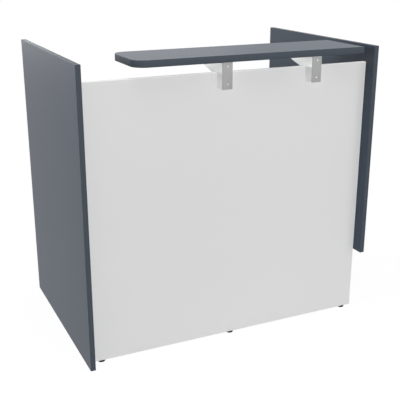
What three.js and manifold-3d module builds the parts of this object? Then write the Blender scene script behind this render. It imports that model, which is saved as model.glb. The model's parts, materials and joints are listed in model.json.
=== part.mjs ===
// Reception desk: a white front panel between two slate side panels, a slate counter shelf carried
// above it on two steel brackets, a work surface behind it, and levelling feet below.
// Millimetres, +Z up. X runs left to right, Y from the visitor's side to the user's side.
// The origin is on the floor, under the middle of the desk.
import * as THREE from "three";
import { mergeVertices } from "three/addons/utils/BufferGeometryUtils.js";
import Module from "manifold-3d";

const wasm = await Module();
wasm.setup();

// Overall size
const WIDTH = 1200;
const DEPTH = 800;
const HEIGHT = 1120;

// Boards, and the edge strips glued to their open edges
const BOARD = 19;
const TOP_BOARD = 25;
const EDGE = 2;

// Front panel, set back from the side panels' front edges
const FRONT_SETBACK = 50;
const FRONT_BOTTOM = 6;
const FRONT_TOP = 1054;

// The right side panel hangs clear of the floor
const RIGHT_BOTTOM = 265;

// Counter shelf, level with the side panels' tops and fronts, free at both ends and round at its left
const SHELF_LEFT = -396;
const SHELF_RIGHT = 531;
const SHELF_DEPTH = 250;
const SHELF_CORNER = 50;
const CORNER_STEPS = 12;

// Work surface
const SURFACE_TOP = 740;
const SURFACE_INSET = 20;

// Shelf brackets: a folded steel arm that saddles the front panel, closed in front by a flat plate
const BRACKET_X = { left: -49.5, right: 323 };
const BRACKET_WIDTH = 40;
const STEEL = 3;
const PLATE_SETBACK = 4;
const PLATE_BOTTOM = 998.5;
const ARM_ROOT_BOTTOM = 1045;
const ARM_TIP_HEIGHT = 4;
const ARM_TIP_INSET = 15;
const BOLT_HEIGHT = 1079;
const PANEL_SCREW_HEIGHT = 1016;
const SHELF_SCREW_BACK = { front: 100, rear: 200 };

// Steel angles under the work surface
const ANGLE_LEG = 30;
const ANGLE_FRONT = -250;
const ANGLE_REAR = 310;
const ANGLE_SCREW_IN = 50;
const ANGLE_SCREW_STAGGER = 30;

// Levelling feet under the front panel
const FOOT_END_INSET = 40;
const FOOT_RADIUS = 14;
const FOOT_RIM = 1;
const FOOT_SHOULDER = 5;
const FOOT_CROWN = 13;
const FOOT_STEM = 3;
const FOOT_STEM_TOP = 25;
const INSERT_BARREL = 5;
const INSERT_TOP = 27;

// Rear leg under the work surface's right rear corner
const LEG_SIDE_INSET = 110;
const LEG_REAR_INSET = 80;
const LEG_RADIUS = 25;
const LEG_WALL = 2;
const LEG_BOTTOM = 20;
const LEG_PLATE_RADIUS = 55;
const LEG_PLATE = 4;
const LEG_SCREW_CIRCLE = 42;
const LEG_SCREW_COUNT = 3;
const PLUG_FLANGE = 3;
const PLUG_TOP = 50;
const REAR_FOOT_RADIUS = 20;
const REAR_FOOT_SHOULDER = 6;
const REAR_FOOT_NECK = 10;
const REAR_FOOT_NECK_BOTTOM = 12;
const REAR_STEM = 5;
const REAR_STEM_TOP = 48;

// Knock-down fittings: cams in the front panel's back, bolts in the side panels
const CAM_RADIUS = 7.5;
const CAM_DEPTH = 13;
const CAM_REACH = 34;
const CAM_BOLT_SHORT = 2;
const CAM_BOLT = 3;
const CAM_BOLT_NECK = 2;
const CAM_BOLT_EMBED = 12;
const CAM_HEIGHTS = { left: { lower: 200, upper: 900 }, right: { lower: 400, upper: 940 } };
const SLOT_LENGTH = 9;
const SLOT_WIDTH = 1.6;
const SLOT_DEPTH = 2.5;

// Screws: shank radius, length below the head, head radius and head height; the crown is the head's flat top
const WOOD_SCREW = { shank: 2, length: 16, head: 4, rise: 2.4 };
const PLATE_SCREW = { shank: 2.25, length: 61, head: 4.25, rise: 3 };
const PLATE_BOLT = { shank: 2.5, length: 12, head: 4.25, rise: 3 };
const HEAD_CROWN = 0.7;

// Clearance round every shank and past its end, how far a cutter starts outside, and facets of round pieces
const FIT = 0.3;
const BORE_END = 0.5;
const OVERCUT = 1;
const SMALL_SIDES = 10;
const ROUND_SIDES = 20;

// Planes that the driving dimensions give
const LEFT = -WIDTH / 2;
const RIGHT = WIDTH / 2;
const INNER_LEFT = LEFT + BOARD;
const INNER_RIGHT = RIGHT - BOARD;
const FRONT = -DEPTH / 2;
const REAR = DEPTH / 2;
const PANEL_FRONT = FRONT + FRONT_SETBACK;
const PANEL_BACK = PANEL_FRONT + BOARD;
const PANEL_MIDDLE = PANEL_FRONT + BOARD / 2;
const SHELF_TOP = HEIGHT;
const SHELF_BOTTOM = SHELF_TOP - TOP_BOARD;
const SHELF_REAR = FRONT + SHELF_DEPTH;
const PLATE_FRONT = FRONT + PLATE_SETBACK;
const PLATE_BACK = PLATE_FRONT + STEEL;
const SURFACE_BOTTOM = SURFACE_TOP - TOP_BOARD;
const LEG_X = RIGHT - LEG_SIDE_INSET;
const LEG_Y = REAR - LEG_REAR_INSET;
const FOOT_X = { left: INNER_LEFT + FOOT_END_INSET, middle: 0, right: INNER_RIGHT - FOOT_END_INSET };

const FINISH = {
  slateBoard: { color: 0x3e4854, roughness: 0.42, metalness: 0 },
  slateEdge: { color: 0x414b57, roughness: 0.4, metalness: 0 },
  whiteBoard: { color: 0xeeeeed, roughness: 0.45, metalness: 0 },
  whiteEdge: { color: 0xf0f0ef, roughness: 0.42, metalness: 0 },
  greySteel: { color: 0xaeb0b2, roughness: 0.45, metalness: 0.3 },
  zinc: { color: 0xd4d6d8, roughness: 0.3, metalness: 1 },
  blackPlastic: { color: 0x101011, roughness: 0.55, metalness: 0 },
  nylon: { color: 0xd9d7d0, roughness: 0.5, metalness: 0 },
};

// A box from its lowest to its highest corner.
function box(low, high) {
  const size = high.map((value, i) => value - low[i]);
  const middle = high.map((value, i) => (value + low[i]) / 2);
  return new THREE.BoxGeometry(...size).translate(...middle);
}

// A solid turned about Z from profile points [radius, height].
function turned(profile, sides) {
  const points = profile.map(([radius, height]) => new THREE.Vector2(radius, height));
  return new THREE.LatheGeometry(points, sides).rotateX(Math.PI / 2);
}

// A round rod between two points.
function rod(from, to, radius, sides = SMALL_SIDES) {
  const start = new THREE.Vector3(...from);
  const end = new THREE.Vector3(...to);
  const axis = end.clone().sub(start);
  const middle = start.add(end).multiplyScalar(0.5);
  const cylinder = new THREE.CylinderGeometry(radius, radius, axis.length(), sides);
  const turn = new THREE.Quaternion().setFromUnitVectors(new THREE.Vector3(0, 1, 0), axis.normalize());
  return cylinder.applyQuaternion(turn).translate(...middle.toArray());
}

function outline(points) {
  return new THREE.Shape(points.map(([a, b]) => new THREE.Vector2(a, b)));
}

// Extrusions of a closed outline: upwards, across from an outline in (y, z), back from one in (x, z).
function extrudeUp(shape, from, to) {
  const settings = { depth: to - from, bevelEnabled: false, curveSegments: CORNER_STEPS };
  return new THREE.ExtrudeGeometry(shape, settings).translate(0, 0, from);
}

function extrudeAcross(shape, from, to) {
  const turn = new THREE.Matrix4().makeBasis(
    new THREE.Vector3(0, 1, 0), new THREE.Vector3(0, 0, 1), new THREE.Vector3(1, 0, 0));
  return extrudeUp(shape, 0, to - from).applyMatrix4(turn).translate(from, 0, 0);
}

function extrudeBack(shape, from, to) {
  return extrudeUp(shape, 0, to - from).rotateX(Math.PI / 2).translate(0, to, 0);
}

// A closed geometry as a solid for cutting and joining, without the empty triangles at a turned tip.
function solid(geometry) {
  const bare = geometry.clone();
  bare.deleteAttribute("normal");
  bare.deleteAttribute("uv");
  const merged = mergeVertices(bare);
  const index = merged.index.array;
  const triangles = [];
  for (let i = 0; i < index.length; i += 3) {
    const corners = [index[i], index[i + 1], index[i + 2]];
    if (new Set(corners).size === 3) triangles.push(...corners);
  }
  const vertProperties = new Float32Array(merged.attributes.position.array);
  const triVerts = new Uint32Array(triangles);
  return new wasm.Manifold(new wasm.Mesh({ numProp: 3, vertProperties, triVerts }));
}

function surfaceOf(body) {
  const mesh = body.getMesh();
  const geometry = new THREE.BufferGeometry();
  geometry.setAttribute("position", new THREE.BufferAttribute(mesh.vertProperties, 3));
  geometry.setIndex(new THREE.BufferAttribute(mesh.triVerts, 1));
  const flat = geometry.toNonIndexed();
  flat.computeVertexNormals();
  return flat;
}

function cut(geometry, cutters) {
  return surfaceOf(cutters.reduce((body, cutter) => body.subtract(solid(cutter)), solid(geometry)));
}

function join(geometries) {
  return surfaceOf(geometries.map(solid).reduce((body, other) => body.add(other)));
}

function piece(name, geometry, finish) {
  const mesh = new THREE.Mesh(geometry, new THREE.MeshStandardMaterial(finish));
  mesh.name = name;
  return mesh;
}

function group(pieces, position = [0, 0, 0]) {
  const assembly = new THREE.Group();
  assembly.add(...pieces);
  assembly.position.set(...position);
  return assembly;
}

// A pan-head screw whose head rests on the seat and points along the direction.
function screw(name, kind, seat, direction) {
  const profile = [
    [0, -kind.length],
    [kind.shank, kind.shank - kind.length],
    [kind.shank, 0],
    [kind.head, 0],
    [kind.head, kind.rise / 2],
    [kind.head * HEAD_CROWN, kind.rise],
    [0, kind.rise],
  ];
  const mesh = piece(name, turned(profile, SMALL_SIDES), FINISH.zinc);
  mesh.position.set(...seat);
  mesh.quaternion.setFromUnitVectors(new THREE.Vector3(0, 0, 1), new THREE.Vector3(...direction));
  return mesh;
}

// The clearance hole that a screw needs in what it holds together.
function screwHole(kind, seat, direction) {
  const start = seat.map((value, i) => value + direction[i] * OVERCUT);
  const end = seat.map((value, i) => value - direction[i] * (kind.length + BORE_END));
  return rod(start, end, kind.shank + FIT);
}

// Seats of the screws in a support angle: into the side panel, and up into the work surface.
function angleScrews(side) {
  const sign = side === "left" ? 1 : -1;
  const wall = side === "left" ? INNER_LEFT : INNER_RIGHT;
  const ends = { front: ANGLE_FRONT + ANGLE_SCREW_IN, rear: ANGLE_REAR - ANGLE_SCREW_IN };
  const inward = { front: ANGLE_SCREW_STAGGER, rear: -ANGLE_SCREW_STAGGER };
  return Object.keys(ends).flatMap((end) => [
    {
      name: `angle_${side}_panel_screw_${end}`,
      into: "panel",
      seat: [wall + sign * STEEL, ends[end], SURFACE_BOTTOM - ANGLE_LEG / 2],
      direction: [sign, 0, 0],
    },
    {
      name: `angle_${side}_surface_screw_${end}`,
      into: "surface",
      seat: [wall + sign * ANGLE_LEG / 2, ends[end] + inward[end], SURFACE_BOTTOM - STEEL],
      direction: [0, 0, -1],
    },
  ]);
}

function angleHoles(side, into) {
  const wanted = angleScrews(side).filter((place) => place.into === into);
  return wanted.map((place) => screwHole(WOOD_SCREW, place.seat, place.direction));
}

function supportAngle(side) {
  const sign = side === "left" ? 1 : -1;
  const wall = side === "left" ? INNER_LEFT : INNER_RIGHT;
  const profile = outline([
    [wall, SURFACE_BOTTOM],
    [wall, SURFACE_BOTTOM - ANGLE_LEG],
    [wall + sign * STEEL, SURFACE_BOTTOM - ANGLE_LEG],
    [wall + sign * STEEL, SURFACE_BOTTOM - STEEL],
    [wall + sign * ANGLE_LEG, SURFACE_BOTTOM - STEEL],
    [wall + sign * ANGLE_LEG, SURFACE_BOTTOM],
  ]);
  const holes = [...angleHoles(side, "panel"), ...angleHoles(side, "surface")];
  const bar = cut(extrudeBack(profile, ANGLE_FRONT, ANGLE_REAR), holes);
  const screws = angleScrews(side).map((place) => screw(place.name, WOOD_SCREW, place.seat, place.direction));
  return group([piece(`support_angle_${side}`, bar, FINISH.greySteel), ...screws]);
}

// Cam joint: a bolt out of the side panel's inner face, caught in a cam sunk in the front panel's back.
function camPlaces(side) {
  const sign = side === "left" ? 1 : -1;
  const wall = side === "left" ? INNER_LEFT : INNER_RIGHT;
  return Object.entries(CAM_HEIGHTS[side]).map(([level, height]) => ({ side, sign, wall, level, height }));
}

function camBoltHole({ sign, wall, height }) {
  const start = [wall - sign * (CAM_BOLT_EMBED + BORE_END), PANEL_MIDDLE, height];
  const end = [wall + sign * CAM_REACH, PANEL_MIDDLE, height];
  return rod(start, end, CAM_BOLT + FIT);
}

function camRecess({ sign, wall, height }) {
  const x = wall + sign * CAM_REACH;
  const bottom = [x, PANEL_BACK - CAM_DEPTH - BORE_END, height];
  return rod(bottom, [x, PANEL_BACK + OVERCUT, height], CAM_RADIUS + FIT, ROUND_SIDES);
}

function cam(place) {
  const x = place.wall + place.sign * CAM_REACH;
  const bottom = [x, PANEL_BACK - CAM_DEPTH, place.height];
  const disc = rod(bottom, [x, PANEL_BACK, place.height], CAM_RADIUS, ROUND_SIDES);
  const floor = PANEL_BACK - SLOT_DEPTH;
  const long = SLOT_LENGTH / 2;
  const thin = SLOT_WIDTH / 2;
  const cross = [[long, thin], [thin, long]].map(([wide, high]) => box(
    [x - wide, floor, place.height - high], [x + wide, PANEL_BACK + OVERCUT, place.height + high]));
  return piece(`cam_${place.side}_${place.level}`, cut(disc, [...cross, camBoltHole(place)]), FINISH.zinc);
}

function camBolt(place) {
  const tip = CAM_REACH - CAM_BOLT_SHORT;
  const profile = [
    [0, -CAM_BOLT_EMBED],
    [CAM_BOLT, -CAM_BOLT_EMBED],
    [CAM_BOLT, tip - CAM_RADIUS],
    [CAM_BOLT_NECK, tip - CAM_RADIUS],
    [CAM_BOLT_NECK, tip - CAM_BOLT],
    [CAM_BOLT, tip - CAM_BOLT],
    [CAM_BOLT, tip],
    [0, tip],
  ];
  const mesh = piece(`cam_bolt_${place.side}_${place.level}`, turned(profile, SMALL_SIDES), FINISH.zinc);
  mesh.position.set(place.wall, PANEL_MIDDLE, place.height);
  mesh.rotation.y = place.sign * Math.PI / 2;
  return mesh;
}

function camJoints(side) {
  return group(camPlaces(side).flatMap((place) => [cam(place), camBolt(place)]));
}

function leftSidePanel() {
  const core = box([LEFT, FRONT + EDGE, 0], [INNER_LEFT, REAR - EDGE, HEIGHT - EDGE]);
  const holes = [...camPlaces("left").map(camBoltHole), ...angleHoles("left", "panel")];
  const front = box([LEFT, FRONT, 0], [INNER_LEFT, FRONT + EDGE, HEIGHT - EDGE]);
  const rear = box([LEFT, REAR - EDGE, 0], [INNER_LEFT, REAR, HEIGHT - EDGE]);
  const top = box([LEFT, FRONT, HEIGHT - EDGE], [INNER_LEFT, REAR, HEIGHT]);
  return group([
    piece("left_side_panel", cut(core, holes), FINISH.slateBoard),
    piece("left_panel_front_edge", front, FINISH.slateEdge),
    piece("left_panel_rear_edge", rear, FINISH.slateEdge),
    piece("left_panel_top_edge", top, FINISH.slateEdge),
  ]);
}

function rightSidePanel() {
  const low = RIGHT_BOTTOM + EDGE;
  const high = HEIGHT - EDGE;
  const core = box([INNER_RIGHT, FRONT + EDGE, low], [RIGHT, REAR - EDGE, high]);
  const holes = [...camPlaces("right").map(camBoltHole), ...angleHoles("right", "panel")];
  const front = box([INNER_RIGHT, FRONT, low], [RIGHT, FRONT + EDGE, high]);
  const rear = box([INNER_RIGHT, REAR - EDGE, low], [RIGHT, REAR, high]);
  const top = box([INNER_RIGHT, FRONT, high], [RIGHT, REAR, HEIGHT]);
  const bottom = box([INNER_RIGHT, FRONT, RIGHT_BOTTOM], [RIGHT, REAR, low]);
  return group([
    piece("right_side_panel", cut(core, holes), FINISH.slateBoard),
    piece("right_panel_front_edge", front, FINISH.slateEdge),
    piece("right_panel_rear_edge", rear, FINISH.slateEdge),
    piece("right_panel_top_edge", top, FINISH.slateEdge),
    piece("right_panel_bottom_edge", bottom, FINISH.slateEdge),
  ]);
}

function frontPanel() {
  const end = INNER_RIGHT - EDGE;
  const high = FRONT_TOP - EDGE;
  const core = box([INNER_LEFT, PANEL_FRONT, FRONT_BOTTOM], [end, PANEL_BACK, high]);
  const cams = [...camPlaces("left"), ...camPlaces("right")];
  const insertBottom = FRONT_BOTTOM - OVERCUT;
  const insertEnd = INSERT_TOP + BORE_END;
  const insertHoles = Object.values(FOOT_X).map(
    (x) => rod([x, PANEL_MIDDLE, insertBottom], [x, PANEL_MIDDLE, insertEnd], INSERT_BARREL + FIT));
  const screwHoles = Object.values(BRACKET_X).map(
    (x) => screwHole(PLATE_SCREW, panelScrewSeat(x), [0, -1, 0]));
  const holes = [...cams.map(camBoltHole), ...cams.map(camRecess), ...insertHoles, ...screwHoles];
  const top = box([INNER_LEFT, PANEL_FRONT, high], [INNER_RIGHT, PANEL_BACK, FRONT_TOP]);
  const right = box([end, PANEL_FRONT, FRONT_BOTTOM], [INNER_RIGHT, PANEL_BACK, high]);
  return group([
    piece("front_panel", cut(core, holes), FINISH.whiteBoard),
    piece("front_panel_top_edge", top, FINISH.whiteEdge),
    piece("front_panel_right_edge", cut(right, camPlaces("right").map(camBoltHole)), FINISH.whiteEdge),
  ]);
}

// The shelf's outline up to its right strip, drawn in from its other edges by the inset; the left corners
// are round.
function shelfOutline(inset) {
  const left = SHELF_LEFT + inset;
  const right = SHELF_RIGHT - EDGE;
  const front = FRONT + inset;
  const rear = SHELF_REAR - inset;
  const radius = SHELF_CORNER - inset;
  const path = new THREE.Shape();
  path.moveTo(right, rear);
  path.lineTo(left + radius, rear);
  path.absarc(left + radius, rear - radius, radius, Math.PI / 2, Math.PI);
  path.absarc(left + radius, front + radius, radius, Math.PI, 1.5 * Math.PI);
  path.lineTo(right, front);
  return path;
}

function shelfScrewSeat(x, back) {
  return [x, FRONT + back, SHELF_BOTTOM - STEEL];
}

function counterShelf() {
  const core = extrudeUp(shelfOutline(EDGE), SHELF_BOTTOM, SHELF_TOP);
  const screwHoles = Object.values(BRACKET_X).flatMap((x) => Object.values(SHELF_SCREW_BACK).map(
    (back) => screwHole(WOOD_SCREW, shelfScrewSeat(x, back), [0, 0, -1])));
  const outer = shelfOutline(0).getPoints(CORNER_STEPS);
  const inner = shelfOutline(EDGE).getPoints(CORNER_STEPS);
  const wrap = new THREE.Shape([...outer, ...inner.reverse()]);
  const right = box([SHELF_RIGHT - EDGE, FRONT, SHELF_BOTTOM], [SHELF_RIGHT, SHELF_REAR, SHELF_TOP]);
  return group([
    piece("counter_shelf", cut(core, screwHoles), FINISH.slateBoard),
    piece("counter_shelf_edge", extrudeUp(wrap, SHELF_BOTTOM, SHELF_TOP), FINISH.slateEdge),
    piece("counter_shelf_right_edge", right, FINISH.slateEdge),
  ]);
}

function workSurface() {
  const rear = REAR - SURFACE_INSET;
  const core = box([INNER_LEFT, PANEL_BACK, SURFACE_BOTTOM], [INNER_RIGHT, rear - EDGE, SURFACE_TOP]);
  const edge = box([INNER_LEFT, rear - EDGE, SURFACE_BOTTOM], [INNER_RIGHT, rear, SURFACE_TOP]);
  const legHoles = legScrewSeats().map(
    ([x, y, z]) => screwHole(WOOD_SCREW, [LEG_X + x, LEG_Y + y, z], [0, 0, -1]));
  const holes = [...angleHoles("left", "surface"), ...angleHoles("right", "surface"), ...legHoles];
  return group([
    piece("work_surface", cut(core, holes), FINISH.slateBoard),
    piece("work_surface_rear_edge", edge, FINISH.slateEdge),
  ]);
}

// Seats of the two screws that show on a bracket's plate.
function panelScrewSeat(x) {
  return [x, PLATE_FRONT, PANEL_SCREW_HEIGHT];
}

function plateBoltSeat(x) {
  return [x, PLATE_FRONT, BOLT_HEIGHT];
}

// The arm saddles the panel's top: two webs that hang in front of the panel and taper back under the shelf,
// a flange under the shelf, a tab behind the plate and another behind the panel.
function bracketArm() {
  const half = BRACKET_WIDTH / 2;
  const inner = half - STEEL;
  const tip = SHELF_REAR - ARM_TIP_INSET;
  const web = outline([
    [PLATE_BACK, PLATE_BOTTOM],
    [PANEL_FRONT, PLATE_BOTTOM],
    [PANEL_FRONT, FRONT_TOP],
    [PANEL_BACK, FRONT_TOP],
    [PANEL_BACK, ARM_ROOT_BOTTOM],
    [tip, SHELF_BOTTOM - ARM_TIP_HEIGHT],
    [tip, SHELF_BOTTOM],
    [PLATE_BACK, SHELF_BOTTOM],
  ]);
  const rearFoot = ARM_ROOT_BOTTOM + STEEL;
  const flange = box([-half, PLATE_BACK, SHELF_BOTTOM - STEEL], [half, tip, SHELF_BOTTOM]);
  const frontTab = box([-half, PLATE_BACK, PLATE_BOTTOM], [half, PLATE_BACK + STEEL, SHELF_BOTTOM]);
  const rearTab = box([-half, PANEL_BACK, rearFoot], [half, PANEL_BACK + STEEL, SHELF_BOTTOM]);
  const webs = [extrudeAcross(web, -half, -inner), extrudeAcross(web, inner, half)];
  const shelfHoles = Object.values(SHELF_SCREW_BACK).map(
    (back) => screwHole(WOOD_SCREW, shelfScrewSeat(0, back), [0, 0, -1]));
  const boltHole = screwHole(PLATE_BOLT, plateBoltSeat(0), [0, -1, 0]);
  const screwClearance = screwHole(PLATE_SCREW, panelScrewSeat(0), [0, -1, 0]);
  return cut(join([flange, frontTab, rearTab, ...webs]), [...shelfHoles, boltHole, screwClearance]);
}

function bracketPlate() {
  const half = BRACKET_WIDTH / 2;
  const blank = box([-half, PLATE_FRONT, PLATE_BOTTOM], [half, PLATE_BACK, SHELF_BOTTOM]);
  const holes = [
    screwHole(PLATE_BOLT, plateBoltSeat(0), [0, -1, 0]),
    screwHole(PLATE_SCREW, panelScrewSeat(0), [0, -1, 0]),
  ];
  return cut(blank, holes);
}

function shelfBracket(side) {
  const shelfScrews = Object.entries(SHELF_SCREW_BACK).map(([end, back]) => screw(
    `bracket_${side}_shelf_screw_${end}`, WOOD_SCREW, shelfScrewSeat(0, back), [0, 0, -1]));
  const pieces = [
    piece(`bracket_${side}_arm`, bracketArm(), FINISH.greySteel),
    piece(`bracket_${side}_plate`, bracketPlate(), FINISH.greySteel),
    screw(`bracket_${side}_plate_bolt`, PLATE_BOLT, plateBoltSeat(0), [0, -1, 0]),
    screw(`bracket_${side}_panel_screw`, PLATE_SCREW, panelScrewSeat(0), [0, -1, 0]),
    ...shelfScrews,
  ];
  return group(pieces, [BRACKET_X[side], 0, 0]);
}

// A levelling foot screwed fully in, so that its pad meets the panel's bottom edge and the insert in it.
function levellingFoot(side) {
  const pad = [
    [0, 0],
    [FOOT_RADIUS - FOOT_RIM, 0],
    [FOOT_RADIUS, FOOT_RIM],
    [FOOT_RADIUS, FOOT_SHOULDER],
    [FOOT_CROWN, FRONT_BOTTOM],
    [FOOT_STEM, FRONT_BOTTOM],
    [FOOT_STEM, FOOT_STEM_TOP],
    [0, FOOT_STEM_TOP],
  ];
  const insert = [
    [FOOT_STEM + FIT, FRONT_BOTTOM],
    [INSERT_BARREL, FRONT_BOTTOM],
    [INSERT_BARREL, INSERT_TOP],
    [FOOT_STEM + FIT, INSERT_TOP],
    [FOOT_STEM + FIT, FRONT_BOTTOM],
  ];
  const pieces = [
    piece(`front_foot_${side}`, turned(pad, ROUND_SIDES), FINISH.blackPlastic),
    piece(`foot_insert_${side}`, turned(insert, SMALL_SIDES), FINISH.nylon),
  ];
  return group(pieces, [FOOT_X[side], PANEL_MIDDLE, 0]);
}

function legScrewSeats() {
  return Array.from({ length: LEG_SCREW_COUNT }, (_, i) => {
    const angle = i * 2 * Math.PI / LEG_SCREW_COUNT;
    const reach = LEG_SCREW_CIRCLE;
    return [reach * Math.cos(angle), reach * Math.sin(angle), SURFACE_BOTTOM - LEG_PLATE];
  });
}

function rearLeg() {
  const bore = LEG_RADIUS - LEG_WALL;
  const plateBottom = SURFACE_BOTTOM - LEG_PLATE;
  const tube = [
    [0, plateBottom],
    [bore, plateBottom],
    [bore, LEG_BOTTOM],
    [LEG_RADIUS, LEG_BOTTOM],
    [LEG_RADIUS, plateBottom],
    [LEG_PLATE_RADIUS, plateBottom],
    [LEG_PLATE_RADIUS, SURFACE_BOTTOM],
    [0, SURFACE_BOTTOM],
  ];
  const flangeBottom = LEG_BOTTOM - PLUG_FLANGE;
  const plug = [
    [REAR_STEM + FIT, flangeBottom],
    [LEG_RADIUS, flangeBottom],
    [LEG_RADIUS, LEG_BOTTOM],
    [bore - FIT, LEG_BOTTOM],
    [bore - FIT, PLUG_TOP],
    [REAR_STEM + FIT, PLUG_TOP],
    [REAR_STEM + FIT, flangeBottom],
  ];
  const foot = [
    [0, 0],
    [REAR_FOOT_RADIUS - FOOT_RIM, 0],
    [REAR_FOOT_RADIUS, FOOT_RIM],
    [REAR_FOOT_RADIUS, REAR_FOOT_SHOULDER],
    [REAR_FOOT_NECK, REAR_FOOT_NECK_BOTTOM],
    [REAR_FOOT_NECK, flangeBottom],
    [REAR_STEM, flangeBottom],
    [REAR_STEM, REAR_STEM_TOP],
    [0, REAR_STEM_TOP],
  ];
  const seats = legScrewSeats();
  const holes = seats.map((seat) => screwHole(WOOD_SCREW, seat, [0, 0, -1]));
  const screws = seats.map((seat, i) => screw(`leg_screw_${i + 1}`, WOOD_SCREW, seat, [0, 0, -1]));
  const pieces = [
    piece("rear_leg", cut(turned(tube, ROUND_SIDES), holes), FINISH.greySteel),
    piece("leg_plug", turned(plug, ROUND_SIDES), FINISH.blackPlastic),
    piece("rear_foot", turned(foot, ROUND_SIDES), FINISH.blackPlastic),
    ...screws,
  ];
  return group(pieces, [LEG_X, LEG_Y, 0]);
}

const desk = group([
  leftSidePanel(),
  rightSidePanel(),
  frontPanel(),
  counterShelf(),
  workSurface(),
  supportAngle("left"),
  supportAngle("right"),
  camJoints("left"),
  camJoints("right"),
  ...Object.keys(BRACKET_X).map(shelfBracket),
  ...Object.keys(FOOT_X).map(levellingFoot),
  rearLeg(),
]);

export default desk;
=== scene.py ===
import json
import math

import bmesh
import bpy
import numpy as np
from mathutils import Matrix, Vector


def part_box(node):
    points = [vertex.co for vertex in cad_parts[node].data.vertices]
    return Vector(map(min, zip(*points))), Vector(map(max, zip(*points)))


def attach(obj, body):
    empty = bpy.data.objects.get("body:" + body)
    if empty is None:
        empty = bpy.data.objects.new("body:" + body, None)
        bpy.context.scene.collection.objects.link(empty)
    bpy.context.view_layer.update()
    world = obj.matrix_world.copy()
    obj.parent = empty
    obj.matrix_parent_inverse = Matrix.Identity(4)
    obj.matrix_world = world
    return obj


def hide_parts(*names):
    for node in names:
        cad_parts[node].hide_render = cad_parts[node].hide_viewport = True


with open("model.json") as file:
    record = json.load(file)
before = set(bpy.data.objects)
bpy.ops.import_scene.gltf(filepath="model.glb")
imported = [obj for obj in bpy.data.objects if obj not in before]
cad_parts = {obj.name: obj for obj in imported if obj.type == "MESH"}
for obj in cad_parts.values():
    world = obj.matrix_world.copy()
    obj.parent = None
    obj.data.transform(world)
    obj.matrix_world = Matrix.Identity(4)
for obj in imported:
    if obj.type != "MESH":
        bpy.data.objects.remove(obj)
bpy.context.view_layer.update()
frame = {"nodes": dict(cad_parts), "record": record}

MM = 0.001
TURN = 2 * math.pi
X, Y, Z = 0, 1, 2

# Camera, at the photograph's place and angle
CAMERA_PLACE = (-1.2479, -2.7445, 1.4690)
CAMERA_TILT = math.radians(71.469)
CAMERA_TURN = math.radians(-24.916)
CAMERA_LENS = 67.17
SENSOR = 36.0

# Sun lamps: what each adds to white, its spread, height and bearing from the front towards the left in
# degrees, and whether it casts a shadow
LAMPS = {
    "front_lamp": (0.695, 64, 9, -13, False),
    "left_lamp": (0.45, 20, 11, 90, True),
    "top_lamp": (0.52, 40, 78, 0, False),
    "sky_lamp": (0.22, 60, 88, 0, True),
    "rim_lamp": (0.23, 40, 14, 156, True),
    "glint_lamp": (0.026, 30, 8, 193, True),
    "back_lamp": (0.34, 40, -6, 178, False),
}

# World: its light on the desk, and how far a mirrored ray counts as one from the camera
FILL = 0.05
WALLS_MIRRORED = 0.87

# Floor: half its width, its finish, its tone when seen and when it only throws light back, the share of
# glow in what is seen, and how far a mirrored ray counts as one from the camera
FLOOR_REACH = 14.0
FLOOR_ROUGH = 0.9
FLOOR_GLOSS = 0.0
FLOOR_SEEN = 0.97
FLOOR_LIT = 0.32
FLOOR_GLOW = 0.85
FLOOR_MIRRORED = 0.44

# Meshes: points closer than MERGE become one, edges shorter than SLIVER go, and an edge that turns by more
# degrees than its crease angle is sharp
MERGE = 1e-6
SLIVER = 1e-7
CREASE = 35
SCREW_CREASE = 30

# Edge strips
STRIP_ROUND = 1.2 * MM
STRIP_GROOVE = 0.12 * MM
SHELF_CORNER = 50 * MM
CORNER_STEPS = 24
ROUND_STEPS = 6

# Folded steel
STEEL = 3 * MM
BEND = 0.6 * MM
STEEL_ROUND = 0.4 * MM
PLATE_CORNER = 2 * MM
ARM_ROOT = 1045 * MM
ARM_TIP = 4 * MM
ANGLE_FILLET = 2.5 * MM

# Turned profiles: points in each softened corner, the share of its shorter side that it may take, and rows
# in each turn of a thread
ARC_POINTS = 5
ARC_SHARE = 0.45
THREAD_STEPS = 6

# Front feet
FOOT_SIDES = 128
FOOT_RIM = 1 * MM
FOOT_SLOPE = 1 * MM
FOOT_STEM = 3 * MM
FOOT_PITCH = 1 * MM
RIBS = 32
RIB_DEPTH = 0.35 * MM

# Rear foot
REAR_RIM = 1 * MM
REAR_RIM_RISE = 1.2 * MM
REAR_SHOULDER = 6 * MM
REAR_NECK = 10 * MM
REAR_NECK_LOW = 12 * MM
REAR_NECK_HIGH = 17 * MM
HEXAGON_CORNER = 0.97
REAR_STEM = 5 * MM
REAR_PITCH = 1.5 * MM
REAR_THREAD = 0.8 * MM
REAR_TIP = 1.2 * MM
REAR_TIP_RISE = 0.5 * MM

# Rear leg
LEG_SIDES = 96
LEG_TUBE = 25 * MM
LEG_WALL = 2 * MM
LEG_PLATE = 4 * MM
LEG_WELD = 4 * MM
LEG_ROUND = 0.8 * MM

# Screws: shank radius, head height and thread pitch of each kind, then the counts of sides and rows
WOOD_SCREW = (2 * MM, 2.4 * MM, 1.5 * MM)
PLATE_BOLT = (2.5 * MM, 3 * MM, 0.8 * MM)
PANEL_SCREW = (2.25 * MM, 3 * MM, 1.8 * MM)
SCREW_SIDES = 40
TIP_ROWS = 5
HEAD_STEPS = 8
CROWN_ROWS = 15

# Screw shares: the thread's root of its crest, the head's wall of its height, and its flat of its radius
THREAD_ROOT = 0.78
HEAD_WALL = 0.45
HEAD_FLAT = 0.62

# Cross recess: its bars and the circle that it lies in as shares of the head's radius, its depth as a share
# of the head's height, how much of that it loses towards the rim, and how far its edge is softened
CROSS_LENGTH = 0.52
CROSS_WIDTH = 0.14
CROSS_WITHIN = 0.75
CROSS_DEPTH = 0.62
CROSS_TAPER = 0.35
CROSS_SOFT = 0.15

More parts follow.
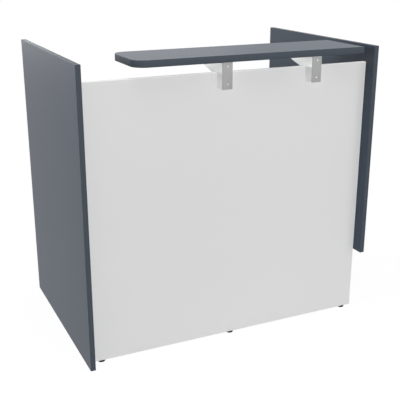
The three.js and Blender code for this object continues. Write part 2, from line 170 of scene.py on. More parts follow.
# Colours
SLATE = (0.049, 0.065, 0.090)
SLATE_STRIP = (0.056, 0.068, 0.086)
WHITE = (0.69, 0.69, 0.69)
# The white strips: the white board's colour painted lighter, as painted light from above on the top edge
WHITE_STRIP_PAINTED_LIGHTER = (0.86, 0.86, 0.86)
GREY_COAT = (0.34, 0.34, 0.34)
# The arms' coat: the plates' grey paint painted lighter, as painted light on the arms' side walls
ARM_COAT_PAINTED_LIGHTER = (0.87, 0.87, 0.87)
ZINC_BLUE = (0.47, 0.485, 0.515)
ZINC_STRAW = (0.58, 0.57, 0.55)
BLACK = (0.008, 0.008, 0.009)
NYLON = (0.62, 0.61, 0.57)

# Roughness, from and to
SLATE_ROUGH = (0.32, 0.40)
SLATE_STRIP_ROUGH = (0.41, 0.47)
WHITE_ROUGH = (0.36, 0.46)
WHITE_STRIP_ROUGH = (0.36, 0.44)
COAT_ROUGH = (0.34, 0.46)
ZINC_ROUGH = (0.2, 0.36)
BLACK_ROUGH = (0.45, 0.6)
NYLON_ROUGH = (0.4, 0.55)

# Patterns: the middle range of a noise, and the soft cloud's share of a laminate's pattern
NOISE_LOW = 0.3
NOISE_HIGH = 0.7
CLOUD_SHARE = 0.45


# Surfaces from grids of points

def closed_bmesh(grid):
    """One closed skin from a grid of points (rows, columns, 3).

    Neighbouring points join into quads, each row closes into a ring, and the first and last rows are
    filled. Points that meet on an axis are merged, and the faces are turned outwards."""
    rows, columns = grid.shape[:2]
    index = np.arange(rows * columns).reshape(rows, columns)
    ahead = np.roll(index, -1, axis=1)
    quads = np.stack([index[:-1], ahead[:-1], ahead[1:], index[1:]], axis=-1).reshape(-1, 4)
    faces = quads.tolist() + [index[0][::-1].tolist(), index[-1].tolist()]
    mesh = bpy.data.meshes.new("skin")
    mesh.from_pydata(grid.reshape(-1, 3).tolist(), [], faces)
    skin = bmesh.new()
    skin.from_mesh(mesh)
    bpy.data.meshes.remove(mesh)
    bmesh.ops.remove_doubles(skin, verts=skin.verts, dist=MERGE)
    bmesh.ops.dissolve_degenerate(skin, edges=skin.edges, dist=SLIVER)
    if skin.calc_volume(signed=True) < 0:
        bmesh.ops.reverse_faces(skin, faces=skin.faces)
    return skin


def make_piece(name, grids, finish, replaced, body="desk", crease=CREASE):
    """A piece from one or more closed grids, standing for a CAD node and riding on its body."""
    mesh = bpy.data.meshes.new(name)
    whole = bmesh.new()
    for grid in grids:
        skin = closed_bmesh(grid)
        part = bpy.data.meshes.new("part")
        skin.to_mesh(part)
        skin.free()
        whole.from_mesh(part)
        bpy.data.meshes.remove(part)
    whole.to_mesh(mesh)
    whole.free()
    mesh.polygons.foreach_set("use_smooth", np.ones(len(mesh.polygons), bool))
    mesh.set_sharp_from_angle(angle=math.radians(crease))
    mesh.materials.append(finish)
    piece = bpy.data.objects.new(name, mesh)
    bpy.context.collection.objects.link(piece)
    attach(piece, body)
    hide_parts(replaced)


def slot_of(node):
    """The material slot that the record gives a CAD node."""
    return next(row["material_slot"] for row in frame["record"]["subparts"] if row["node"] == node)


def corners(node):
    """The low and high corners of a CAD node's box."""
    low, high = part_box(node)
    return np.array(low), np.array(high)


def quarter(steps):
    """Angles from 0 to a quarter turn in even steps."""
    return np.linspace(0, math.pi / 2, steps + 1)


def around(sides):
    """Angles of a whole turn, one for each side."""
    return np.arange(sides) * TURN / sides


# Edge strips

def strip_profile(width, thick):
    """Closed outline (across, outwards) of a glued strip.

    Its outer corners are quarter circles, and a hairline chamfer runs along each inner corner where the
    strip meets the board."""
    arc = quarter(ROUND_STEPS)
    r, g = STRIP_ROUND, STRIP_GROOVE
    left = np.stack([r - r * np.cos(arc), thick - r + r * np.sin(arc)], axis=-1)
    right = np.stack([width - r + r * np.sin(arc), thick - r + r * np.cos(arc)], axis=-1)
    start = [[g, 0], [0, g]]
    end = [[width, g], [width - g, 0]]
    return np.concatenate([start, left, right, end])


def straight_strip(node, outward, along, sign, round_low, round_high):
    """The strip profile carried along a straight edge.

    Near a free end, at distance s, the outline is drawn in by R - sqrt(R^2 - (R - s)^2), so that the end
    is as round as the sides."""
    low, high = corners(node)
    across = X + Y + Z - outward - along
    thick = high[outward] - low[outward]
    width = high[across] - low[across]
    length = high[along] - low[along]
    rise = STRIP_ROUND * (1 - np.cos(quarter(ROUND_STEPS)))
    near = rise if round_low else np.zeros(1)
    far = length - (rise[::-1] if round_high else np.zeros(1))
    place = np.concatenate([near, far])
    edge = np.minimum(place if round_low else length, length - place if round_high else length)
    spare = np.clip(STRIP_ROUND - edge, 0, None)
    drawn = np.reshape(STRIP_ROUND - np.sqrt(STRIP_ROUND ** 2 - spare ** 2), (-1, 1))
    profile = strip_profile(width, thick)
    grid = np.zeros((len(place), len(profile), 3))
    base = low[outward] if sign > 0 else high[outward]
    grid[..., outward] = base + sign * np.minimum(profile[:, 1], thick - drawn)
    grid[..., across] = low[across] + np.clip(profile[:, 0], drawn, width - drawn)
    grid[..., along] = low[along] + place[:, None]
    return grid


def shelf_strip(node, board):
    """The strip profile carried round the shelf: back edge, round left end, front edge.

    The path is the board's outline, with a quarter circle at each left corner; the profile stands on it
    along the path's outward normal."""
    low, high = corners(node)
    left, front, bottom = low
    right, rear, top = high
    thick = corners(board)[0][X] - left
    arc = quarter(CORNER_STEPS)
    turn = np.concatenate([[math.pi / 2], math.pi / 2 + arc, math.pi + arc, [1.5 * math.pi]])
    normal = np.stack([np.cos(turn), np.sin(turn)], axis=-1)
    steps = CORNER_STEPS + 1
    centre = np.concatenate([
        [[right, rear - SHELF_CORNER]],
        np.tile([left + SHELF_CORNER, rear - SHELF_CORNER], (steps, 1)),
        np.tile([left + SHELF_CORNER, front + SHELF_CORNER], (steps, 1)),
        [[right, front + SHELF_CORNER]],
    ])
    profile = strip_profile(top - bottom, thick)
    reach = SHELF_CORNER - thick + profile[:, 1]
    grid = np.zeros((len(turn), len(profile), 3))
    grid[..., :2] = centre[:, None] + normal[:, None] * reach[None, :, None]
    grid[..., Z] = bottom + profile[:, 0]
    return grid


def make_strips(slate, white):
    """Every edge strip.

    A row gives the node, the axis that it faces, the axis that it runs along, which way it faces, and
    whether its low and high ends are free."""
    plan = [
        ("left_panel_front_edge", Y, Z, -1, True, False),
        ("left_panel_rear_edge", Y, Z, 1, True, False),
        ("left_panel_top_edge", Z, Y, 1, True, True),
        ("right_panel_front_edge", Y, Z, -1, False, False),
        ("right_panel_rear_edge", Y, Z, 1, False, False),
        ("right_panel_top_edge", Z, Y, 1, True, True),
        ("right_panel_bottom_edge", Z, Y, -1, True, True),
        ("front_panel_top_edge", Z, X, 1, False, False),
        ("front_panel_right_edge", X, Z, 1, True, False),
        ("counter_shelf_right_edge", X, Y, 1, True, True),
        ("work_surface_rear_edge", Y, X, 1, False, False),
    ]
    for node, outward, along, sign, low_free, high_free in plan:
        finish = white if node.startswith("front") else slate
        grid = straight_strip(node, outward, along, sign, low_free, high_free)
        make_piece(node.replace("_edge", "_strip"), [grid], finish, node)
    grid = shelf_strip("counter_shelf_edge", "counter_shelf")
    make_piece("counter_shelf_strip", [grid], slate, "counter_shelf_edge")


# Steelwork

def rounded_rectangle(half_width, half_height, radius, inset):
    """Outline of a rectangle with quarter-circle corners, drawn in by each inset: (insets, points, 2)."""
    turn = (quarter(ROUND_STEPS)[None, :] + np.arange(4)[:, None] * math.pi / 2).ravel()
    signs = np.repeat([[1, 1], [-1, 1], [-1, -1], [1, -1]], ROUND_STEPS + 1, axis=0)
    core = signs * [half_width - radius, half_height - radius]
    way = np.stack([np.cos(turn), np.sin(turn)], axis=-1)
    return core[None] + way[None] * (radius - inset)[:, None, None]


def slab(low, high, across, up, corner, edge):
    """A plate with round corners and softened edges.

    Its outline is carried through the thickness; within one edge radius of either face it is drawn in
    along a quarter circle."""
    through = X + Y + Z - across - up
    arc = quarter(ROUND_STEPS)
    thick = high[through] - low[through]
    inset = np.concatenate([edge * (1 - np.sin(arc)), edge * (1 - np.cos(arc))])
    depth = np.concatenate([edge * (1 - np.cos(arc)), thick - edge + edge * np.sin(arc)])
    half = (high - low) / 2
    flat = rounded_rectangle(half[across], half[up], corner, inset)
    grid = np.zeros(flat.shape[:2] + (3,))
    grid[..., across] = (low + half)[across] + flat[..., 0]
    grid[..., up] = (low + half)[up] + flat[..., 1]
    grid[..., through] = low[through] + depth[:, None]
    return grid


def channel_profile(half, top, bottom):
    """Closed outline (across, height) of a folded channel, open below, for each web bottom given.

    Both bends are quarter circles: the outer one is larger than the inner one by the sheet's thickness."""
    arc = quarter(ROUND_STEPS)
    outer = BEND + STEEL
    foot = bottom[:, None]
    ones = np.ones_like(foot)
    outside_x = np.concatenate([[half], half - outer + outer * np.cos(arc)])
    outside_z = np.concatenate([foot, ones * (top - outer + outer * np.sin(arc))], axis=1)
    inside_x = np.concatenate([[half - STEEL], half - outer + BEND * np.cos(arc)])
    inside_z = np.concatenate([foot, ones * (top - outer + BEND * np.sin(arc))], axis=1)
    x = np.concatenate([-outside_x, outside_x[::-1], inside_x, -inside_x[::-1]])
    z = np.concatenate([outside_z, outside_z[:, ::-1], inside_z, inside_z[:, ::-1]], axis=1)
    return ones * x, z


def bracket_arm(node):
    """The folded arm that saddles the front panel and runs back under the shelf.

    The channel outline is carried back along Y. Its webs hang down in front of the panel, stand on the
    panel's top, step down behind it, and taper in a straight line to the tip. One tab closes the channel
    in front, and another behind the panel."""
    low, high = corners(node)
    panel_low, panel_high = corners("front_panel")
    panel_top = corners("front_panel_top_edge")[1][Z]
    middle = (low[X] + high[X]) / 2
    half = (high[X] - low[X]) / 2
    near, far = panel_low[Y], panel_high[Y]
    back = np.array([low[Y], near, near, far, far, high[Y]])
    bottom = np.array([low[Z], low[Z], panel_top, panel_top, ARM_ROOT, high[Z] - ARM_TIP])
    x, z = channel_profile(half, high[Z], bottom)
    shells = [np.stack([middle + x, np.repeat(back[:, None], x.shape[1], axis=1), z], axis=-1)]
    inner = half - STEEL
    for front, foot in ((low[Y], low[Z]), (far, ARM_ROOT + STEEL)):
        tab_low = np.array([middle - inner, front, foot])
        tab_high = np.array([middle + inner, front + STEEL, high[Z] - STEEL])
        shells.append(slab(tab_low, tab_high, X, Z, STEEL_ROUND, STEEL_ROUND))
    return shells


def support_angle(node, side):
    """A rolled angle: an L outline with a filleted inner corner and round toes, carried along Y."""
    low, high = corners(node)
    leg = high[X] - low[X]
    arc = quarter(ROUND_STEPS)
    toe = STEEL / 2
    hang_toe = np.stack([STEEL - toe + toe * np.cos(arc), -leg + toe - toe * np.sin(arc)], axis=-1)[::-1]
    fillet = np.stack([
        STEEL + ANGLE_FILLET * (1 - np.cos(arc)), -STEEL - ANGLE_FILLET * (1 - np.sin(arc))], axis=-1)
    shelf_toe = np.stack([leg - toe + toe * np.sin(arc), -STEEL + toe - toe * np.cos(arc)], axis=-1)
    outline = np.concatenate([[[0, 0], [0, -leg]], hang_toe, fillet, shelf_toe, [[leg, 0]]])
    wall = low[X] if side > 0 else high[X]
    grid = np.zeros((2, len(outline), 3))
    grid[..., X] = wall + side * outline[:, 0]
    grid[..., Y] = np.array([low[Y], high[Y]])[:, None]
    grid[..., Z] = high[Z] + outline[:, 1]
    return grid


def make_steelwork(grey, pale):
    """On each side, the shelf's arm, the plate in front of it, and the work surface's angle."""
    for side, sign in (("left", 1), ("right", -1)):
        arm = f"bracket_{side}_arm"
        # the arm's coat is the plates' grey painted lighter: painted light on its side walls
        make_piece(f"{side}_shelf_arm", bracket_arm(arm), pale, arm)
        plate = f"bracket_{side}_plate"
        low, high = corners(plate)
        make_piece(f"{side}_face_plate", [slab(low, high, X, Z, PLATE_CORNER, STEEL_ROUND)], grey, plate)
        angle = f"support_angle_{side}"
        make_piece(f"{side}_surface_angle", [support_angle(angle, sign)], grey, angle)


# Turned pieces

def turned(radius, height, low, high, sides):
    """A profile of radii and heights spun about the upright line through the middle of a box.

    Radii may be one per row, or a whole (rows, sides) array where the rim is ribbed or threaded."""
    turn = around(sides)
    middle = (low + high) / 2
    radius = np.broadcast_to(np.reshape(radius, (len(height), -1)), (len(height), sides))
    rows = np.broadcast_to(height[:, None], (len(height), sides))
    return np.stack([middle[X] + radius * np.cos(turn), middle[Y] + radius * np.sin(turn), rows], axis=-1)


def thread(crest, root, pitch, height, sides, fade):
    """Radii of a screw thread: a triangle wave of the height less one pitch per turn, between root and crest.

    Where fade is 0 the rod is plain at its crest radius."""
    turn = np.arange(sides) / sides
    wave = np.abs(((height[:, None] / pitch - turn[None]) % 1) * 2 - 1)
    return crest - (crest - root) * wave * fade[:, None]


def soft_profile(points, radius):
    """A profile of (radius, height) points with each inner corner turned into a short arc.

    The arc is the quadratic curve that leaves one side, aims at the corner and arrives on the other side."""
    points = np.array(points, float)
    before = points[:-2] - points[1:-1]
    after = points[2:] - points[1:-1]
    before_length = np.linalg.norm(before, axis=1)
    after_length = np.linalg.norm(after, axis=1)
    reach = np.minimum(radius, np.minimum(before_length, after_length) * ARC_SHARE)[:, None]
    start = points[1:-1] + before / before_length[:, None] * reach
    end = points[1:-1] + after / after_length[:, None] * reach
    t = np.linspace(0, 1, ARC_POINTS)[None, :, None]
    arcs = (1 - t) ** 2 * start[:, None] + 2 * t * (1 - t) * points[1:-1][:, None] + t ** 2 * end[:, None]
    return np.concatenate([points[:1], arcs.reshape(-1, 2), points[-1:]])


def front_foot(side):
    """A levelling foot: a ribbed pad on a threaded stem, screwed in until it meets its insert.

    The pad's rim is drawn in by a cosine of the angle to make grip ribs, only between its two shoulders."""
    low, high = corners(f"front_foot_{side}")
    radius = (high[X] - low[X]) / 2
    pad = corners(f"foot_insert_{side}")[0][Z]
    outline = soft_profile([
        (0, 0), (radius - FOOT_RIM, 0), (radius, FOOT_RIM), (radius, pad - FOOT_SLOPE),
        (radius - FOOT_SLOPE, pad), (FOOT_STEM, pad),
    ], FOOT_RIM / 2)
    on_rim = np.clip((outline[:, 0] - radius + FOOT_RIM) / FOOT_RIM, 0, 1)
    ribs = RIB_DEPTH * on_rim[:, None] * (0.5 - 0.5 * np.cos(around(FOOT_SIDES) * RIBS))[None]
    rise = np.arange(pad, high[Z] - FOOT_PITCH / 2, FOOT_PITCH / THREAD_STEPS)
    fade = np.clip((rise - pad) / FOOT_PITCH, 0, 1)
    screw = thread(FOOT_STEM, FOOT_STEM - FOOT_PITCH / 2, FOOT_PITCH, rise, FOOT_SIDES, fade)
    tip = np.array([[FOOT_STEM - FOOT_PITCH, high[Z]], [0, high[Z]]])
    radii = np.concatenate([outline[:, :1] - ribs, screw, np.repeat(tip[:, :1], FOOT_SIDES, axis=1)])
    heights = np.concatenate([outline[:, 1], rise, tip[:, 1]])
    return turned(radii, heights, low, high, FOOT_SIDES)


def rear_foot(node):
    """The leg's foot: a flared pad, a hexagonal neck for a spanner, and a threaded stem.

    The neck's radius at an angle from the middle of a flat is the flat's distance over the cosine of that
    angle, cut off a little inside the corners."""
    low, high = corners(node)
    radius = (high[X] - low[X]) / 2
    outline = soft_profile([
        (0, 0), (radius - REAR_RIM, 0), (radius, REAR_RIM_RISE), (radius, REAR_SHOULDER),
        (REAR_NECK, REAR_NECK_LOW),
    ], REAR_RIM)
    half_flat = math.pi / 6
    off_middle = (around(FOOT_SIDES) + half_flat) % (2 * half_flat) - half_flat
    hexagon = np.minimum(REAR_NECK * math.cos(half_flat) / np.cos(off_middle), REAR_NECK * HEXAGON_CORNER)
    rise = np.arange(REAR_NECK_HIGH, high[Z] - REAR_TIP_RISE, REAR_PITCH / THREAD_STEPS)
    fade = np.clip((rise - REAR_NECK_HIGH) / REAR_PITCH, 0, 1)
    screw = thread(REAR_STEM, REAR_STEM - REAR_THREAD, REAR_PITCH, rise, FOOT_SIDES, fade)
    tip = np.array([[REAR_STEM - REAR_TIP, high[Z]], [0, high[Z]]])
    whole = np.ones((1, FOOT_SIDES))
    neck = np.repeat(hexagon[None], 2, axis=0)
    radii = np.concatenate([outline[:, :1] * whole, neck, screw, tip[:, :1] * whole])
    heights = np.concatenate([outline[:, 1], [REAR_NECK_LOW, REAR_NECK_HIGH], rise, tip[:, 1]])
    return turned(radii, heights, low, high, FOOT_SIDES)


def rear_leg(node):
    """The leg: a tube open below, a weld that slopes out at its head, and a round plate on top."""
    low, high = corners(node)
    plate = (high[X] - low[X]) / 2
    under = high[Z] - LEG_PLATE
    bore = LEG_TUBE - LEG_WALL
    outline = soft_profile([
        (0, under), (bore, under), (bore, low[Z]), (LEG_TUBE, low[Z]), (LEG_TUBE, under - LEG_WELD),
        (LEG_TUBE + LEG_WELD, under), (plate, under), (plate, high[Z]), (0, high[Z]),
    ], LEG_ROUND)
    return turned(outline[:, 0], outline[:, 1], low, high, LEG_SIDES)


def make_feet(black, grey):
    """The four feet, each on its own moving body, and the rear leg."""
    for side in ("left", "middle", "right"):
        make_piece(f"{side}_levelling_foot", [front_foot(side)], black, f"front_foot_{side}", f"foot_{side}")
    make_piece("leg_levelling_foot", [rear_foot("rear_foot")], black, "rear_foot", "foot_rear")
    make_piece("rear_leg_tube", [rear_leg("rear_leg")], grey, "rear_leg")


# Screws

def cross_mask(x, y, length, width):
    """1 inside a cross of two bars and 0 outside it, falling evenly across a narrow band at its edge."""
    bars = np.minimum(
        np.maximum(np.abs(x) / length, np.abs(y) / width), np.maximum(np.abs(x) / width, np.abs(y) / length))
    return np.clip((1 + CROSS_SOFT - bars) / (2 * CROSS_SOFT), 0, 1)


def pan_screw(shank, length, head, rise, pitch):
    """A cross-recessed pan-head screw standing on z = 0, head up, as one spun grid.

    Rows run up the conical tip, the threaded shank, the head's underside and side, then inwards over a
    quarter-ellipse crown; the crown is lowered by the cross mask to sink the recess."""
    rise_rows = np.arange(-length + shank, -pitch, pitch / THREAD_STEPS)
    tip = np.linspace(0, 1, TIP_ROWS + 1)[:-1]
    shaft_z = np.concatenate([-length + shank * tip, rise_rows, [-pitch, 0]])
    crest = np.concatenate([shank * tip, np.full(len(rise_rows), shank), [shank, shank]])
    fade = np.concatenate([np.zeros(TIP_ROWS), np.ones(len(rise_rows)), [0, 0]])
    shaft = thread(1, THREAD_ROOT, pitch, shaft_z, SCREW_SIDES, fade) * crest[:, None]
    arc = quarter(HEAD_STEPS)[1:]
    side_z = np.concatenate([[0, rise * HEAD_WALL], rise * (HEAD_WALL + (1 - HEAD_WALL) * np.sin(arc))])
    side_r = np.concatenate([[head, head], head * (HEAD_FLAT + (1 - HEAD_FLAT) * np.cos(arc))])
    crown_r = np.linspace(HEAD_FLAT * head, 0, CROWN_ROWS + 1)[1:]
    whole = np.ones((1, SCREW_SIDES))
    radii = np.concatenate([shaft, side_r[:, None] * whole, crown_r[:, None] * whole])
    heights = np.concatenate([shaft_z, side_z, np.full(CROWN_ROWS, rise)])[:, None] * whole
    turn = around(SCREW_SIDES)
    x, y = radii * np.cos(turn), radii * np.sin(turn)
    on_head = (heights > 0) & (radii < head * CROSS_WITHIN)
    taper = 1 - CROSS_TAPER * np.hypot(x, y) / head
    sunk = cross_mask(x, y, CROSS_LENGTH * head, CROSS_WIDTH * head) * taper
    heights = heights - on_head * sunk * rise * CROSS_DEPTH
    return np.stack([x, y, heights], axis=-1)


def point_along(grid, direction):
    """Turns a grid that stands along +Z to stand along another axis, without mirroring it."""
    x, y, z = np.moveaxis(grid, -1, 0)
    turned_to = {
        (0, 0, -1): (x, -y, -z),
        (1, 0, 0): (z, y, -x),
        (-1, 0, 0): (-z, y, x),
        (0, -1, 0): (x, -z, y),
    }
    return np.stack(turned_to[direction], axis=-1)


def screw_piece(node, direction, sizes, zinc):
    """A screw in its CAD node's place: the node's box gives its length, its head's width and its seat."""
    shank, rise, pitch = sizes
    low, high = corners(node)
    axis = int(np.argmax(np.abs(direction)))
    head = np.delete(high - low, axis).max() / 2
    length = high[axis] - low[axis] - rise
    seat = (low + high) / 2
    seat[axis] = high[axis] - rise if direction[axis] > 0 else low[axis] + rise
    grid = seat + point_along(pan_screw(shank, length, head, rise, pitch), direction)
    make_piece(f"{node}_threaded", [grid], zinc, node, crease=SCREW_CREASE)


def make_screws(zinc):
    """Every screw, with the way that its head points."""
    front, down = (0, -1, 0), (0, 0, -1)
    for side, inward in (("left", (1, 0, 0)), ("right", (-1, 0, 0))):
        screw_piece(f"bracket_{side}_plate_bolt", front, PLATE_BOLT, zinc)
        screw_piece(f"bracket_{side}_panel_screw", front, PANEL_SCREW, zinc)
        for end in ("front", "rear"):
            screw_piece(f"bracket_{side}_shelf_screw_{end}", down, WOOD_SCREW, zinc)
            screw_piece(f"angle_{side}_panel_screw_{end}", inward, WOOD_SCREW, zinc)
            screw_piece(f"angle_{side}_surface_screw_{end}", down, WOOD_SCREW, zinc)
    for number in (1, 2, 3):
        screw_piece(f"leg_screw_{number}", down, WOOD_SCREW, zinc)


# Finishes

def adder(nodes, links):
    """A shorthand for adding nodes to one tree."""
    def add(kind, inputs, **settings):
        """A new node with its settings and inputs; an input is a value, or a socket to link."""
        node = nodes.new(kind)
        for key, value in settings.items():
            setattr(node, key, value)
        for key, value in inputs.items():
            if isinstance(value, bpy.types.NodeSocket):
                links.new(value, node.inputs[key])
            else:
                node.inputs[key].default_value = value
        return node

    return add


def shader(name):
    """A new node material, its Principled shader, object coordinates, and ways to add and link nodes."""
    material = bpy.data.materials.new(name)
    material.use_nodes = True
    nodes, links = material.node_tree.nodes, material.node_tree.links
    place = nodes.new("ShaderNodeTexCoord").outputs["Object"]
    return material, nodes["Principled BSDF"], place, adder(nodes, links), links


def maths(add, operation, first, second):
    """Two values, or sockets, joined by one operation."""
    return add("ShaderNodeMath", {0: first, 1: second}, operation=operation).outputs[0]


def stretch(add, place, scale):
    """Object coordinates scaled along each axis, so that a pattern runs long one way."""
    return add("ShaderNodeMapping", {"Vector": place, "Scale": scale}).outputs["Vector"]


def cloud(add, place, scale, detail, span=(0.0, 1.0)):
    """Noise at a scale in cycles per metre, spread from its middle range onto a span."""
    noise = add("ShaderNodeTexNoise", {"Vector": place, "Scale": scale, "Detail": detail})
    ranged = add("ShaderNodeMapRange", {
        "Value": noise.outputs["Fac"], "From Min": NOISE_LOW, "From Max": NOISE_HIGH,
        "To Min": span[0], "To Max": span[1]})
    return ranged.outputs["Result"]


def mix_colours(add, factor, dark, light):
    """Two colours mixed by a factor; the Mix node's colour sockets are its seventh and eighth."""
    node = add("ShaderNodeMix", {0: factor, 6: (*dark, 1), 7: (*light, 1)}, data_type="RGBA")
    return node.outputs[2]


def tint(add, factor, colour, darker, lighter):
    """A colour made darker and lighter by shares of itself, up to white, and mixed by a factor."""
    dark = tuple(min(1.0, c * (1 - darker)) for c in colour)
    light = tuple(min(1.0, c * (1 + lighter)) for c in colour)
    return mix_colours(add, factor, dark, light)


def relief(add, height, distance, strength):
    """A normal tilted by the slope of a height, at a depth and a strength."""
    bump = add("ShaderNodeBump", {"Height": height, "Distance": distance, "Strength": strength})
    return bump.outputs["Normal"]


def laminate(name, colour, rough, speckle, gloss):
    """Melamine-faced board: an even colour with a soft cloud and a fine print, under an embossed skin."""
    material, surface, place, add, links = shader(name)
    broad = maths(add, "MULTIPLY", cloud(add, place, scale=2.2, detail=2.0), CLOUD_SHARE)
    fine = maths(add, "MULTIPLY", cloud(add, place, scale=420.0, detail=2.0), 1 - CLOUD_SHARE)
    pattern = maths(add, "ADD", broad, fine)
    links.new(tint(add, pattern, colour, speckle, speckle), surface.inputs["Base Color"])
    links.new(cloud(add, place, scale=240.0, detail=4.0, span=rough), surface.inputs["Roughness"])
    pearl = add("ShaderNodeTexVoronoi", {"Vector": place, "Scale": 1100.0}).outputs["Distance"]
    links.new(relief(add, pearl, distance=0.03 * MM, strength=0.25), surface.inputs["Normal"])
    surface.inputs["Specular IOR Level"].default_value = gloss
    return material


def edge_plastic(name, colour, rough, gloss):
    """Extruded edge strip: a colour near the board's, or painted lighter as painted light; faint upright
    streaks.
    """
    material, surface, place, add, links = shader(name)
    streak = cloud(add, stretch(add, place, (1.0, 1.0, 0.02)), scale=260.0, detail=2.0)
    links.new(tint(add, streak, colour, darker=0.04, lighter=0.04), surface.inputs["Base Color"])
    links.new(cloud(add, place, scale=30.0, detail=3.0, span=rough), surface.inputs["Roughness"])
    grain = cloud(add, place, scale=700.0, detail=2.0)
    links.new(relief(add, grain, distance=0.02 * MM, strength=0.2), surface.inputs["Normal"])
    surface.inputs["Specular IOR Level"].default_value = gloss
    return material


def powder_steel(name, colour, metallic):
    """Powder-coated sheet: an orange-peel skin over a faint fleck."""
    material, surface, place, add, links = shader(name)
    fleck = cloud(add, place, scale=900.0, detail=2.0)
    links.new(tint(add, fleck, colour, darker=0.07, lighter=0.07), surface.inputs["Base Color"])
    links.new(cloud(add, place, scale=60.0, detail=3.0, span=COAT_ROUGH), surface.inputs["Roughness"])
    peel = cloud(add, place, scale=380.0, detail=1.0)
    links.new(relief(add, peel, distance=0.05 * MM, strength=0.35), surface.inputs["Normal"])
    surface.inputs["Metallic"].default_value = metallic
    return material


def zinc_plate(name):
    """Bright zinc on steel: pale blue and straw patches with a fine grain."""
    material, surface, place, add, links = shader(name)
    patch = cloud(add, place, scale=180.0, detail=3.0)
    links.new(mix_colours(add, patch, ZINC_BLUE, ZINC_STRAW), surface.inputs["Base Color"])
    links.new(cloud(add, place, scale=500.0, detail=3.0, span=ZINC_ROUGH), surface.inputs["Roughness"])
    grain = cloud(add, place, scale=1400.0, detail=2.0)
    links.new(relief(add, grain, distance=0.02 * MM, strength=0.3), surface.inputs["Normal"])
    surface.inputs["Metallic"].default_value = 1.0
    return material


def moulded_plastic(name, colour, rough, gloss):
    """Moulded plastic with a fine spark-eroded grain."""
    material, surface, place, add, links = shader(name)
    tone = cloud(add, place, scale=300.0, detail=3.0)
    links.new(tint(add, tone, colour, darker=0.15, lighter=0.25), surface.inputs["Base Color"])
    links.new(cloud(add, place, scale=200.0, detail=3.0, span=rough), surface.inputs["Roughness"])
    grain = cloud(add, place, scale=1800.0, detail=2.0)
    links.new(relief(add, grain, distance=0.04 * MM, strength=0.4), surface.inputs["Normal"])
    surface.inputs["Specular IOR Level"].default_value = gloss
    return material


def dress(finishes):
    """Every CAD node gets the finish of its slot."""
    for name, node in frame["nodes"].items():
        node.data.materials.clear()
        node.data.materials.append(finishes[slot_of(name)])


# Stage

def background_rays(add, mirrored):
    """1 for rays that show the background straight from the camera or through something clear.

    Mirrored rays count for the share given."""
    path = add("ShaderNodeLightPath", {}).outputs
    reflected = maths(add, "MULTIPLY", path["Is Glossy Ray"], mirrored)
    seen = maths(add, "MAXIMUM", path["Is Camera Ray"], reflected)
    return maths(add, "MAXIMUM", seen, path["Is Transmission Ray"])


def make_floor():
    """A pale floor that meets a white background; from below it is clear, so the feet can be seen.

    Where the camera sees it, most of it glows evenly; where it only throws light back, it is darker."""
    r = FLOOR_REACH
    mesh = bpy.data.meshes.new("floor")
    mesh.from_pydata([(-r, -r, 0), (r, -r, 0), (r, r, 0), (-r, r, 0)], [], [(0, 1, 2, 3)])
    floor = bpy.data.objects.new("floor", mesh)
    bpy.context.collection.objects.link(floor)
    material, surface, _, add, links = shader("pale_floor")
    surface.inputs["Roughness"].default_value = FLOOR_ROUGH
    surface.inputs["Specular IOR Level"].default_value = FLOOR_GLOSS
    seen = background_rays(add, FLOOR_MIRRORED)
    links.new(mix_colours(add, seen, (FLOOR_LIT,) * 3, (FLOOR_SEEN,) * 3), surface.inputs["Base Color"])
    share = maths(add, "MULTIPLY", seen, FLOOR_GLOW)
    glow = add("ShaderNodeEmission", {"Color": (1, 1, 1, 1), "Strength": 1.0}).outputs["Emission"]
    lit = add("ShaderNodeMixShader", {0: share, 1: surface.outputs["BSDF"], 2: glow}).outputs["Shader"]
    clear = add("ShaderNodeBsdfTransparent", {}).outputs["BSDF"]
    back = add("ShaderNodeNewGeometry", {}).outputs["Backfacing"]
    both = add("ShaderNodeMixShader", {0: back, 1: lit, 2: clear}).outputs["Shader"]
    links.new(both, material.node_tree.nodes["Material Output"].inputs["Surface"])
    mesh.materials.append(material)


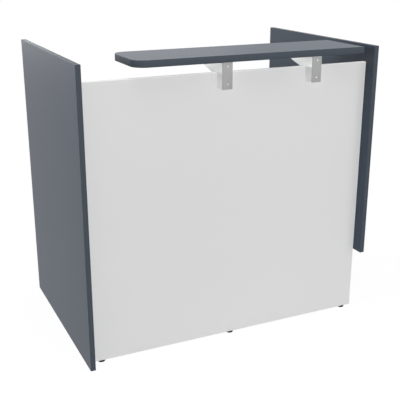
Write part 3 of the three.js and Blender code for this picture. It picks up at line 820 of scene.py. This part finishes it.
def make_light():
    """A white studio: sun lamps all round, some of them without a shadow, and a weak even fill.

    The world shows white to the camera and a little darker in reflections, and lights the desk at its fill
    strength."""
    world = bpy.data.worlds.new("studio")
    bpy.context.scene.world = world
    world.use_nodes = True
    nodes, links = world.node_tree.nodes, world.node_tree.links
    add = adder(nodes, links)
    seen = background_rays(add, WALLS_MIRRORED)
    strength = add("ShaderNodeMapRange", {"Value": seen, "To Min": FILL, "To Max": 1.0}).outputs["Result"]
    links.new(strength, nodes["Background"].inputs["Strength"])
    nodes["Background"].inputs["Color"].default_value = (1, 1, 1, 1)
    for name, (share, spread, height, bearing, shadow) in LAMPS.items():
        sun = bpy.data.lights.new(name, "SUN")
        sun.energy = share * math.pi
        sun.angle = math.radians(spread)
        sun.use_shadow = shadow
        lamp = bpy.data.objects.new(name, sun)
        lamp.rotation_euler = (math.radians(90 - height), 0, math.radians(-bearing))
        bpy.context.collection.objects.link(lamp)


def make_camera():
    """The camera of the main view."""
    data = bpy.data.cameras.new("camera")
    data.sensor_width = SENSOR
    data.lens = CAMERA_LENS
    camera = bpy.data.objects.new("camera", data)
    camera.location = CAMERA_PLACE
    camera.rotation_euler = (CAMERA_TILT, 0, CAMERA_TURN)
    bpy.context.collection.objects.link(camera)
    bpy.context.scene.camera = camera


make_camera()
make_light()
make_floor()
bpy.context.scene.view_settings.view_transform = "Standard"

finishes = {
    "slate_board": laminate("slate_laminate", SLATE, SLATE_ROUGH, speckle=0.06, gloss=0.14),
    "slate_edge": edge_plastic("slate_edging", SLATE_STRIP, SLATE_STRIP_ROUGH, gloss=0.14),
    "white_board": laminate("white_laminate", WHITE, WHITE_ROUGH, speckle=0.015, gloss=0.5),
    # the white strips are painted lighter than the white board: painted light from above on the top edge
    "white_edge": edge_plastic("white_edging_painted_lighter", WHITE_STRIP_PAINTED_LIGHTER, WHITE_STRIP_ROUGH, gloss=0.05),
    "grey_steel": powder_steel("grey_powder_coat", GREY_COAT, metallic=0.0),
    "zinc_steel": zinc_plate("bright_zinc"),
    "black_plastic": moulded_plastic("black_moulding", BLACK, BLACK_ROUGH, gloss=0.1),
    "nylon": moulded_plastic("natural_nylon", NYLON, NYLON_ROUGH, gloss=0.5),
}
# The arms get the grey coat painted lighter: painted light on their side walls under the shelf
arm_coat_painted_lighter = powder_steel("arm_powder_coat_painted_lighter", ARM_COAT_PAINTED_LIGHTER, metallic=0.7)
dress(finishes)
make_strips(finishes["slate_edge"], finishes["white_edge"])
make_steelwork(finishes["grey_steel"], arm_coat_painted_lighter)
make_feet(finishes["black_plastic"], finishes["grey_steel"])
make_screws(finishes["zinc_steel"])
